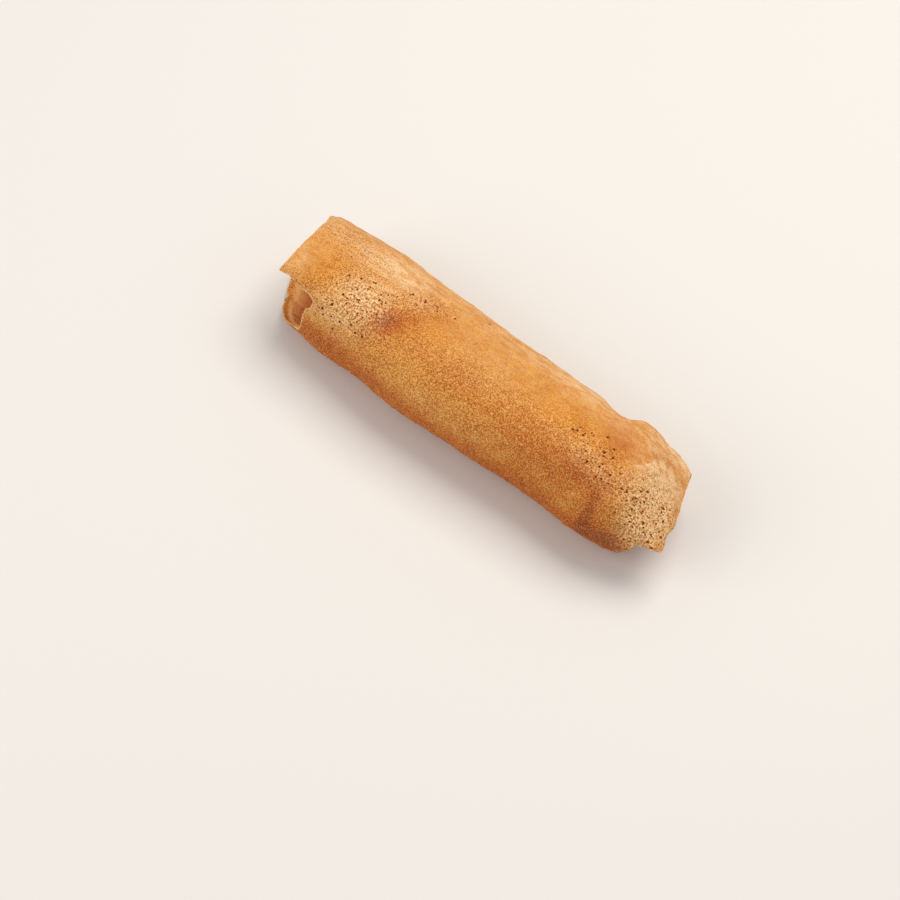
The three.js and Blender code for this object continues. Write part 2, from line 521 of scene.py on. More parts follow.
        # Three waves of unlike lengths, each skewed its own way round the roll, so that none seems to repeat.
        waves = (
            math.sin(x / 6.1 + 2.1 * math.sin(a))
            + 0.7 * math.sin(x / 3.9 - 3.0 * math.cos(a) + 1.7)
            + 0.6 * math.sin(x / 9.5 + 2.0 * math.cos(2 * a))
        )
        standing = 1 - smooth_step(-math.sin(a), *self.lying)
        return self.lap_at(x, turn) + felt(self.dents, x, turn) + self.uneven * waves * 0.5 * standing

    def curled(self, behind: float, turn: float) -> float:
        """How far the skin curls inwards at some distance behind a rim."""
        far = smooth_step(turn % 360, *self.curl_rise) * smooth_step(turn % 360, *self.curl_fall)
        return self.curl * mix(self.near_curl, 1.0, far) * (1 - smooth_step(behind, 0.0, self.curl_reach))

    def ring_x(self, ring: Ring, turn: float) -> float:
        """Where a ring lies along X.

        Args:
            ring: The ring.
            turn: Place round the roll.

        Returns:
            The ring's own place, drawn along by the edge of its mouth, or of both mouths for one on the skin.
        """
        if ring.mouth:
            inner = ring.mouth
            return inner.rim + inner.inwards * ring.depth + inner.drawn(turn, ring.depth, inner.depth)
        torn, drooped = self.torn_mouth, self.drooped_mouth
        x = ring.x + torn.drawn(turn, ring.x - torn.rim, torn.reach)
        return x + drooped.drawn(turn, drooped.rim - ring.x, drooped.reach)

    def place(self, ring: Ring, turn: float, x: float, relief: float, inset: float) -> Vector:
        """A point of a ring, in millimetres.

        Args:
            ring: The ring, which says how far the mouth is still open there.
            turn: Place round the roll.
            x: Place along it.
            relief: How far the point stands out from the plain section.
            inset: How far it lies under the skin.

        Returns:
            The point, no lower than the floor.
        """
        section = self.section_at(x)
        cos = to_power(math.cos(math.radians(turn)), 2 / self.roundness)
        sin = to_power(math.sin(math.radians(turn)), 2 / self.roundness)
        above = section.crown - section.waist - inset
        below = section.waist - section.keel - inset
        fold = (above - below) / 2 * abs(sin) + self.fold_wave * math.sin(self.fold_waves * cos + 1)
        height = sin * (above if sin > 0 else below)
        reach = (section.half - inset + relief) * (1 - self.fold_narrows * (1 - ring.open))
        y = section.drift - cos * reach
        z = section.waist + mix(fold, height, ring.open) + sin * relief
        if ring.mouth:
            return Vector((x, y, max(z, inset)))
        return Vector((x, y, self.foot.press(x, y, z) if z < section.waist / 2 else z))


@dataclass
class Frying:
    """Frying's marks on the skin, with painted light and shade: toast, paleness, small burst blisters and
    pits.
    """

    # Several of these are partly painted shade where dents and valleys turn from the light: on the left of
    # the top, under the tear and across the near side before the drooped end.
    toasted: tuple[Patch, ...] = patches(
        (-26.5, 65, 5.4, 3.8, 35, 1.1), (-21, 82, 7, 3.2, 35, 0.45), (-21, 10, 8, 4, 0, 0.2),
        (-30, 128, 9, 5, 0, 0.15), (-8, 62, 16, 4, 0, 0.42), (28, 38, 19, 8.5, 0, 0.75),
        (36, 56, 7, 3.6, 0, 0.5), (47, 30, 4, 5, 0, 0.1), (-16, 2, 13, 2.6, 0, 0.1),
        (-30, 48, 8, 4, 0, 0.15), (42.5, 24, 2.3, 10, 0, 0.85), (37, 106, 6, 4.2, -10, 0.5),
        (41, 96, 3.2, 2.2, -10, 0.45), (49, 4, 5, 4.6, 0, 0.95), (-37, 0, 9, 3.5, 0, 0.2),
        (-34, 138, 9, 5, 0, 0.14), (-50, 110, 10, 18, 0, 0.12), (-18, 196, 15, 5, 8, 0.5),
        (27, 205, 11, 5, -12, 0.55), (8, 232, 20, 5, 0, 0.45), (-48, 225, 7, 5, 0, 0.4),
    )
    # Several of these are painted highlight and sheen where the skin faces the light: streaks on the far
    # left, a bulge on the near left, the top of the drooped end and a band along the far side.
    pale: tuple[Patch, ...] = patches(
        (-34, 109, 9, 3.2, 10, 0.85), (-29, 98, 6, 2.6, 20, 0.35), (-34, 74, 6, 5, 0, 0.4),
        (-39, 34, 7, 5, 0, 0.32), (-55, 66, 4, 8, 0, 0.35), (-52, 108, 8, 6, 0, 0.12),
        (-4, 20, 14, 4, 0, 0.1), (51, 99, 5.4, 5.4, -10, 1.1), (51, 136, 5.5, 7.5, 0, 1.1),
        (57, 74, 5.5, 12, 0, 0.55), (57, 32, 4, 5, 0, 0.12), (20, 132, 11, 4, 0, 0.35),
        (2, 84, 14, 4, 0, 0.2), (51, 116, 4.5, 6, 0, 0.7), (4, 168, 14, 5, 10, 0.3),
    )
    laced: tuple[Patch, ...] = patches(
        (-34, 68, 7.5, 6.5, 0, 0.5), (-21, 98, 7, 3, 20, 0.4), (-25, 66, 3.5, 3, 40, -0.1),
        (-39, 38, 7, 5, 0, 0.22), (38, 70, 12, 5, -12, 0.2), (54, 70, 6, 5, 0, 0.5), (55, 40, 5, 9, 0, 0.5),
        (-52, 76, 7, 6, 0, -0.28), (-51, 102, 8, 6, 0, 0.22), (-40, 108, 9, 4, 0, 0.15),
        (12, 186, 12, 5, 6, 0.5), (-40, 178, 8, 5, -10, 0.4),
    )
    pitted: tuple[Patch, ...] = patches(
        (-34, 70, 7, 6, 0, 0.75), (-20, 100, 6, 2, 15, 0.9), (-38, 36, 6, 5, 0, 0.5),
        (38.5, 78, 9, 2.3, -14, 2.6), (53.5, 74, 3.5, 3, 0, 0.7), (55, 48, 4.5, 8, 0, 0.35),
        (12, 186, 12, 5, 6, 0.6), (-40, 178, 8, 5, -10, 0.5),
    )
    most_toast: float = 1.6  # where the skin is darkest
    near_toast_and_shade: float = 0.95  # painted shade on the near side, which faces away from the light, over real toasting from lying deepest in the fat
    near_turn: float = -28.0
    near_reach: tuple[float, float] = (20, 50)
    far_painted_light: float = 0.4  # painted light on the far side, which faces the light, and the turns over which that starts and ends
    pale_rise: tuple[float, float] = (80, 135)
    pale_fall: tuple[float, float] = (240, 190)
    crease_shade: float = 0.55  # painted shade in a crease and its width, and toasting of the strip beyond it
    crease_width: float = 0.6
    strip_toast: float = 0.4
    strip_browned: float = 0.8  # share of its paleness that the strip has lost
    grained: float = 0.4  # lacing of the plain skin
    smooth_grained: float = 0.15  # and of its smooth upper far side, between the turns that follow
    smooth_rise: tuple[float, float] = (68, 100)
    smooth_fall: tuple[float, float] = (175, 150)
    smooth_middle: float = 6.0  # its middle, how far from there it roughens, and how smooth its ends are
    smooth_reach: tuple[float, float] = (30, 46)
    smooth_ends: float = 0.75
    spotted: tuple[float, float] = (-56, 61)  # the length of skin that the pits and blisters are scattered on
    pit_tries: int = 9000
    pit_turns: tuple[float, float] = (-25, 205)
    stray_pits: float = 0.0002  # chance of a pit anywhere, and on a pitted patch of amount 1
    pit_chance: float = 0.045
    pit_radii: tuple[float, float] = (0.32, 0.48)
    pit_depth: float = 0.6  # in radii
    blister_tries: int = 900
    blister_turns: tuple[float, float] = (-40, 220)
    blister_radii: tuple[float, float] = (0.9, 2.4)
    blister_heights: tuple[float, float] = (0.05, 0.2)
    lace_cell: float = 0.85  # width of one small blister, and how far it strays, in widths
    lace_strays: float = 0.35
    lace_slope: tuple[float, float] = (0.02, 0.5)  # where its side starts and ends, as it nears the next one
    seed: int = 7  # of the draws and of the noise, which takes its seed from the clock when this is 0

    def lace_at(self, x: float, turn: float) -> float:
        """How closely the skin is laced with burst blisters.

        Args:
            x: Place along the roll.
            turn: Place round it.

        Returns:
            The lacing, from 0 to 1.
        """
        ends = smooth_step(abs(x - self.smooth_middle), *self.smooth_reach)
        far = smooth_step(turn, *self.smooth_rise) * smooth_step(turn, *self.smooth_fall)
        plain = mix(self.grained, self.smooth_grained, far * mix(1.0, self.smooth_ends, ends))
        return min(max(felt(self.laced, x, turn) + plain, 0.0), 1.0)

    def toast_and_shade_at(self, x: float, turn: float) -> float:
        """How brown the skin is toasted or painted with shade, from 0 through 1, reddish brown, to the
        darkest.
        """
        near = self.near_toast_and_shade * (1 - smooth_step(abs(turn_apart(turn, self.near_turn)), *self.near_reach))
        return min(felt(self.toasted, x, turn) + near, self.most_toast)

    def creased_at(self, beyond: float, crease: Crease) -> float:
        """How dark the painted shade in a crease and the toasting of the strip beyond it are, from the
        distance beyond it.
        """
        groove = self.crease_shade * bell(beyond, self.crease_width)
        return groove + self.strip_toast * crease.strip_at(beyond)

    def pale_and_sheen_at(self, x: float, turn: float) -> float:
        """How pale the skin is, from 0 to 1: dry, or painted with highlight and sheen where it faces the
        light.
        """
        far = smooth_step(turn % 360, *self.pale_rise) * smooth_step(turn % 360, *self.pale_fall)
        return min(felt(self.pale, x, turn) + self.far_painted_light * far, 1.0)

    def spots(self, form: Form) -> tuple[list[Spot], list[Spot]]:
        """Scatters the pits and the blisters.

        Args:
            form: The form that they lie on.

        Returns:
            The pits, which are closest together where the skin is pitted, and the broad blisters.
        """
        draw = random.Random(self.seed)
        skin = Ring()
        pits, blisters = [], []
        for _ in range(self.pit_tries):
            x, turn = draw.uniform(*self.spotted), draw.uniform(*self.pit_turns)
            chance, size = draw.random(), draw.random()
            if chance < self.stray_pits + self.pit_chance * felt(self.pitted, x, turn):
                radius = mix(*self.pit_radii, size * size)
                middle = form.place(skin, turn, x, form.waves_at(x, turn), 0.0)
                pits.append(Spot(middle, radius, -self.pit_depth * radius))
        for _ in range(self.blister_tries):
            x, turn = draw.uniform(*self.spotted), draw.uniform(*self.blister_turns)
            size, height = draw.random(), draw.random()
            middle = form.place(skin, turn, x, form.waves_at(x, turn), 0.0)
            radius = mix(*self.blister_radii, size * size)
            blisters.append(Spot(middle, radius, mix(*self.blister_heights, height)))
        return pits, blisters


def tree_of(spots: Sequence[Spot]) -> kdtree.KDTree:
    """A search tree over some spots.

    Args:
        spots: The spots.

    Returns:
        The tree, over their middles.
    """
    tree = kdtree.KDTree(len(spots))
    for i, spot in enumerate(spots):
        tree.insert(spot.middle, i)
    tree.balance()
    return tree


@dataclass
class Wrapper:
    """The whole wrapper, as one closed mesh of rings from the fold in one mouth to that in the other."""

    form: Form
    frying: Frying
    columns: int = 264
    crowding: float = 0.35  # how much closer the columns stand on the blistered side
    crowded_turn: float = 62.0
    rim_step: float = 0.12  # from a mouth's edge to the first ring on either side
    end_step: float = 0.26
    middle_step: float = 0.42
    lip_step: float = 0.32
    inner_step: float = 1.5
    lip_insets: tuple[float, float] = (0.8, 0.3)  # shares of the lip's thickness at the edge's own two rings
    thickens: float = 0.05  # how much the wall gains with each millimetre of depth
    closing: float = 0.45  # share of a mouth's depth from which it closes
    shut: float = 0.03  # share of its height that is left open at its fold
    ledge: float = 2.2  # how far the lip reaches in before the inner turn of wrapper, and how far that strays
    ledge_strays: float = 1.3
    ledge_wave: float = 5.0
    ledge_half: float = 0.25
    pleat: float = 0.22  # height, width and length of the pleats inside a mouth
    pleat_wide: float = 1.5
    pleat_long: float = 7.0
    ripples: tuple[tuple[float, float], ...] = ((0.12, 4.3), (0.06, 1.9))  # height and length
    grain: tuple[float, float] = (0.05, 0.16)  # relief of the small blisters, plain and laced
    pit_reach: float = 1.1  # how far from its middle a pit is looked for, with its raised rim
    pit_rim: float = 0.05  # height of that rim, and its place and width in radii
    pit_rim_at: float = 1.35
    pit_rim_width: float = 0.3
    pit_dark: tuple[float, float] = (0.35, 1.15)  # where a pit stops being dark, in radii
    crumbly: tuple[float, float] = (0.1, 0.7)  # how far behind a fresh edge it is pale, in full and at all
    crumbly_inside: float = 0.35  # and how far in a mouth
    inside_from: float = 0.55  # share of a mouth's depth at which its painted shade is as dark as it gets
    unpitted: tuple[float, float] = (0.3, 1.0)  # how far behind the edge the pinholes start, and are in full
    rubbed: float = 0.8  # share of the relief that the underside has lost
    underside: tuple[float, float] = (0.5, 0.95)  # how low on the round that starts, and is in full
    sharp_angle: float = 65.0  # past which an edge of the mesh, such as a lip's, is shaded sharp
    pits: list[Spot] = field(init=False)
    blisters: list[Spot] = field(init=False)
    pit_tree: kdtree.KDTree = field(init=False)
    blister_tree: kdtree.KDTree = field(init=False)

    def __post_init__(self) -> None:
        """Seeds the noise, scatters the spots and prepares the searches for them."""
        noise.seed_set(self.frying.seed)
        self.pits, self.blisters = self.frying.spots(self.form)
        self.pit_tree = tree_of(self.pits)
        self.blister_tree = tree_of(self.blisters)

    def mouth_rings(self, mouth: Mouth) -> list[Ring]:
        """The rings of a mouth, closest together near its edge.

        Args:
            mouth: The mouth.

        Returns:
            The rings from the fold inside it out to its edge.
        """
        depths = [self.rim_step]
        while depths[-1] < mouth.depth:
            share = depths[-1] / mouth.depth
            depths.append(min(depths[-1] + mix(self.lip_step, self.inner_step, share ** 0.7), mouth.depth))
        form = self.form
        inside = [
            Ring(
                mouth=mouth, depth=depth, inset=form.wall + self.thickens * depth,
                open=max(1 - smooth_step(depth / mouth.depth, self.closing, 1), self.shut),
            )
            for depth in reversed(depths)
        ]
        return [*inside, *(Ring(mouth=mouth, inset=share * form.lip) for share in self.lip_insets)]

    def rings(self) -> list[Ring]:
        """All rings of the wrapper, closest together near its ends.

        Returns:
            The rings from one fold to the other.
        """
        start, end = self.form.torn_mouth.rim, self.form.drooped_mouth.rim
        x, skin = start + self.rim_step, []
        while x < end - self.rim_step:
            skin.append(Ring(x=x))
            x += mix(self.end_step, self.middle_step, math.sin(math.pi * (x - start) / (end - start)) ** 0.5)
        drooped = self.mouth_rings(self.form.drooped_mouth)
        return [*self.mouth_rings(self.form.torn_mouth), *skin, *reversed(drooped)]

    def turn_of(self, column: int) -> float:
        """The turn of a column, where the columns stand closest together on the blistered side.

        Args:
            column: Its number.

        Returns:
            Its turn in degrees.
        """
        even = 2 * math.pi * column / self.columns
        middle = math.radians(self.crowded_turn)
        return math.degrees(even - self.crowding * (math.sin(even - middle) + math.sin(middle)))

    def bubble_at(self, point: Vector) -> float:
        """Height within one of the skin's small blisters.

        Args:
            point: The point, in millimetres.

        Returns:
            The height, from 0 between the blisters to 1 on top.
        """
        cell = self.frying.lace_cell
        strayed = point + self.frying.lace_strays * cell * noise.noise_vector(point / cell)
        distances = noise.voronoi(strayed / cell)[0]
        return smooth_step(distances[1] - distances[0], *self.frying.lace_slope)

    def spots_at(self, point: Vector) -> tuple[float, float]:
        """What the scattered spots do to a point of the skin.

        Args:
            point: The point, in millimetres.

        Returns:
            How far they move it outwards, and how dark a pit is there, from 0 to 1.
        """
        moved, dark = 0.0, 0.0
        for _, i, distance in self.pit_tree.find_range(point, self.pit_reach):
            pit = self.pits[i]
            t = distance / pit.radius
            rim = self.pit_rim * bell(t - self.pit_rim_at, self.pit_rim_width)
            moved += pit.height * max(0.0, 1 - t * t) ** 2 + rim
            dark = max(dark, 1 - smooth_step(t, *self.pit_dark))
        for _, i, distance in self.blister_tree.find_range(point, self.frying.blister_radii[1]):
            blister = self.blisters[i]
            moved += blister.height * max(0.0, 1 - (distance / blister.radius) ** 2) ** 1.5
        return moved, dark

    def skin_point(self, ring: Ring, turn: float) -> tuple[Vector, dict[Mask, float]]:
        """A point of the outer skin.

        Args:
            ring: Its ring.
            turn: Its place round the roll.

        Returns:
            The point in millimetres, and its masks.
        """
        form, frying = self.form, self.frying
        x = form.ring_x(ring, turn)
        mouth = form.torn_mouth if x < 0 else form.drooped_mouth
        behind = mouth.behind(x, turn)
        beyond = form.crease.beyond(x, turn)
        waves = form.waves_at(x, turn) + form.crease.at(beyond) - form.curled(behind, turn)
        turn = form.flap.drooping(x, turn)
        smooth = form.place(ring, turn, x, waves, 0.0)
        lace = frying.lace_at(x, turn)
        under = smooth_step(-math.sin(math.radians(turn)), *self.underside)
        moved, pit = self.spots_at(smooth)
        ripples = sum(height * noise.noise(smooth / length) for height, length in self.ripples)
        grain = (self.bubble_at(smooth) - 0.5) * mix(*self.grain, lace)
        relief = waves + (ripples + grain + moved) * (1 - self.rubbed * under)
        kept = 1 - frying.strip_browned * form.crease.strip_at(beyond)
        masks = {
            # The toast mask also carries painted shade, and the pale mask painted highlight and sheen.
            Mask.TOAST_AND_SHADE: frying.toast_and_shade_at(x, turn) + frying.creased_at(beyond, form.crease),
            Mask.PALE_AND_SHEEN: frying.pale_and_sheen_at(x, turn) * kept,
            Mask.LACE: lace,
            Mask.PITTED: min(felt(frying.pitted, x, turn), 1.0) * smooth_step(behind, *self.unpitted),
            Mask.PIT: pit * (1 - under),
            Mask.RIM: mouth.fresh_at(turn) * (1 - smooth_step(behind, *self.crumbly)),
            Mask.INSIDE: 0.0,
        }
        return form.place(ring, turn, x, relief, 0.0), masks

    def mouth_point(self, ring: Ring, turn: float) -> tuple[Vector, dict[Mask, float]]:
        """A point of a mouth's lip or inner wall.

        Args:
            ring: Its ring, which lies in a mouth.
            turn: Its place round the roll.

        Returns:
            The point in millimetres, and its masks.
        """
        form, mouth, inset = self.form, ring.mouth, ring.inset
        x = form.ring_x(ring, turn)
        waves = (form.waves_at(x, turn) - form.curled(ring.depth, turn)) * ring.open
        fresh = mouth.fresh_at(turn)
        turn = form.flap.drooping(x, turn)
        if ring.depth > 0:
            arc = math.radians(turn) * MEAN_RADIUS
            ledge = self.ledge + self.ledge_strays * noise.noise((arc / self.ledge_wave, mouth.rim, 3.0))
            second = smooth_step(ring.depth, ledge - self.ledge_half, ledge + self.ledge_half)
            pleats = noise.noise((arc / self.pleat_wide, ring.depth / self.pleat_long, mouth.rim))
            inset = mix(form.lip, ring.inset, second) + self.pleat * second * pleats
        masks = dict.fromkeys(Mask, 0.0)
        masks[Mask.LACE] = self.frying.grained
        # The rim mask holds a painted highlight where the break isn't fresh, and the inside mask the painted
        # shade deeper in.
        masks[Mask.RIM] = fresh * (1 - smooth_step(ring.depth, 0.0, self.crumbly_inside))
        masks[Mask.INSIDE] = smooth_step(ring.depth, 0.0, self.inside_from * mouth.depth)
        return form.place(ring, turn, x, waves, inset), masks

    def sleeve(self, count: int) -> bmesh.types.BMesh:
        """An even sleeve, open at both ends.

        Args:
            count: How many rings it has, one at each whole number along X.

        Returns:
            The sleeve, of radius 1 round the X axis, with a layer for each mask.
        """
        bm = bmesh.new()
        for mask in Mask:
            bm.verts.layers.float.new(mask.value)
        line = [bm.verts.new((i, -1.0, 0.0)) for i in range(count)]
        edges = [bm.edges.new(pair) for pair in pairwise(line)]
        bmesh.ops.spin(
            bm, geom=[*line, *edges], cent=(0, 0, 0), axis=(1, 0, 0), angle=-2 * math.pi, steps=self.columns,
            use_merge=True, use_duplicate=False,
        )
        return bm

    def build(self) -> bpy.types.Object:
        """Makes the wrapper's mesh.

        Returns:
            The object, in metres, with its masks as attributes.
        """
        rings = self.rings()
        bm = self.sleeve(len(rings))
        layers = {mask: bm.verts.layers.float[mask.value] for mask in Mask}
        low, high = (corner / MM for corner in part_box(NODE))
        for vert in bm.verts:
            ring = rings[round(vert.co.x)]
            share = math.atan2(vert.co.z, -vert.co.y) % (2 * math.pi) / (2 * math.pi)
            turn = self.turn_of(round(share * self.columns) % self.columns)
            point, masks = self.mouth_point(ring, turn) if ring.mouth else self.skin_point(ring, turn)
            vert.co = Vector(min(max(c, a), b) for c, a, b in zip(point, low, high)) * MM
            for mask, value in masks.items():
                vert[layers[mask]] = value
        ends = [edge for edge in bm.edges if edge.is_boundary]
        caps = bmesh.ops.holes_fill(bm, edges=ends, sides=0)["faces"]
        bmesh.ops.triangulate(bm, faces=caps)
        bmesh.ops.recalc_face_normals(bm, faces=bm.faces)
        for face in bm.faces:
            face.smooth = True
        mesh = bpy.data.meshes.new("fried_wrapper")
        bm.to_mesh(mesh)
        bm.free()
        mesh.set_sharp_from_angle(angle=math.radians(self.sharp_angle))
        piece = bpy.data.objects.new("fried_wrapper", mesh)
        bpy.context.scene.collection.objects.link(piece)
        return piece


def linear(colour: str) -> tuple[float, float, float, float]:
    """Turns a colour in sRGB hex, such as #ffffff, into linear red, green, blue and alpha."""
    channels = (int(colour[i : i + 2], 16) / 255 for i in (1, 3, 5))
    return (*((c / 12.92 if c <= 0.04045 else ((c + 0.055) / 1.055) ** 2.4) for c in channels), 1.0)


def add_node(
    tree: bpy.types.NodeTree, kind: str, settings: Mapping[str, Any] | None = None, **inputs: Any
) -> bpy.types.Node:
    """Adds a node to a material.

    Args:
        tree: The material's node tree.
        kind: The node's type.
        settings: Its properties by name.
        inputs: Its inputs by name, with _ for a space, or by number as in_0. Each is a socket to link or a
            value to set.

    Returns:
        The node.
    """
    node = tree.nodes.new(kind)
    for name, value in (settings or {}).items():
        setattr(node, name, value)
    for name, value in inputs.items():
        socket = node.inputs[int(name[3:]) if name.startswith("in_") else name.replace("_", " ")]
        if isinstance(value, bpy.types.NodeSocket):
            tree.links.new(value, socket)
        else:
            socket.default_value = value
    return node


class Texture(Enum):
    """A signal that the wrapper's material makes for itself."""

    BROAD = "slow changes of tone"
    MOTTLE = "mottling of a few millimetres"
    STREAKS = "streaks drawn out along the roll"
    GRAIN = "the finest blisters"
    FOAM = "distance from the middle of a bubble of the foam"
    BURST = "more than 0 where that bubble has burst right through"
    PINHOLE = "distance from the middle of a pinhole, 1 at its edge"
    PIERCED = "more than 0 where there is such a pinhole"


class Tone(Enum):
    """A colour of the wrapper, in sRGB hex."""

    GROUND_DARK = "#cf832e"
    GROUND = "#dc9239"
    GROUND_LIGHT = "#e4aa58"
    # The next two also stand for painted shade on the near side, in creases and in dents that turn from the
    # light.
    TOASTED_AND_SHADED = "#b45314"
    SCORCHED_AND_SHADED = "#83340f"
    # Also painted highlight and sheen where the skin faces the light.
    PALE_AND_SHEEN = "#f5ce9c"
    GOLDEN_FLAKE = "#fbbe76"
    CREAM_FLAKE = "#ffd8a0"
    GOLDEN_HOLLOW = "#93430b"
    DEEP_HOLLOW = "#8c3604"
    PIT = "#6a1c02"
    # Also a painted highlight along edges whose break isn't fresh.
    BROKEN_AND_HIGHLIGHT = "#f3c98f"
    # The next two are painted light and shade for the lining: paler than the skin against the mouths' shade,
    # and darker deeper in.
    LIT_LINING = "#f8b672"
    SHADED_LINING = "#d0601c"


@dataclass(frozen=True)
class Rise:
    """A smooth rise of a signal, from start where the signal is low to end where it is high."""

    signal: Mask | Texture
    low: float
    high: float
    start: float = 0.0
    end: float = 1.0


@dataclass(frozen=True)
class Coat:
    """A colour laid over those under it, as thickly as the product of its factors."""

    tone: Tone
    factors: tuple[Mask | Texture | Rise, ...]


SMOOTH = {"interpolation_type": "SMOOTHSTEP"}
LAID_OVER = {"data_type": "RGBA", "clamp_factor": True}


@dataclass
class Shading:
    """The nodes of a material under way, with the sockets of its signals and rises so far."""

    tree: bpy.types.NodeTree
    sockets: dict[Mask | Texture | Rise, bpy.types.NodeSocket] = field(default_factory=dict)

    def product(self, *factors: Mask | Texture | Rise | bpy.types.NodeSocket | float) -> bpy.types.NodeSocket:
        """The product of some factors, held between 0 and 1 from the second factor on.

        Args:
            factors: Signals, rises, sockets or numbers, of which the first isn't a number.

        Returns:
            The socket of the product.
        """
        total = None
        for factor in factors:
            if isinstance(factor, Rise) and factor not in self.sockets:
                node = add_node(
                    self.tree, "ShaderNodeMapRange", SMOOTH, in_0=self.sockets[factor.signal],
                    in_1=factor.low, in_2=factor.high, in_3=factor.start, in_4=factor.end,
                )
                self.sockets[factor] = node.outputs["Result"]
            value = self.sockets[factor] if isinstance(factor, (Mask, Texture, Rise)) else factor
            if total is not None:
                settings = {"operation": "MULTIPLY", "use_clamp": True}
                value = add_node(self.tree, "ShaderNodeMath", settings, in_0=total, in_1=value).outputs[0]
            total = value
        return total

    def laid(self, ground: Any, coats: Sequence[Coat]) -> bpy.types.NodeSocket:
        """Lays coats over a ground, one after another.

        Args:
            ground: The ground's socket or colour.
            coats: The coats, undermost first.

        Returns:
            The socket of the colour on top.
        """
        for coat in coats:
            share, over = self.product(*coat.factors), linear(coat.tone.value)
            node = add_node(self.tree, "ShaderNodeMix", LAID_OVER, in_0=share, in_6=ground, in_7=over)
            ground = node.outputs[2]
        return ground


FOAMED = Rise(Mask.LACE, 0.3, 0.95)  # how far the skin is foam all through
GRAINED = Rise(Mask.LACE, 0.0, 0.5, 0.1, 0.62)  # how strongly its finest blisters are coloured
BURST = Rise(Texture.BURST, 0.0, 0.03)
PIERCED = Rise(Texture.PIERCED, 0.0, 0.02)


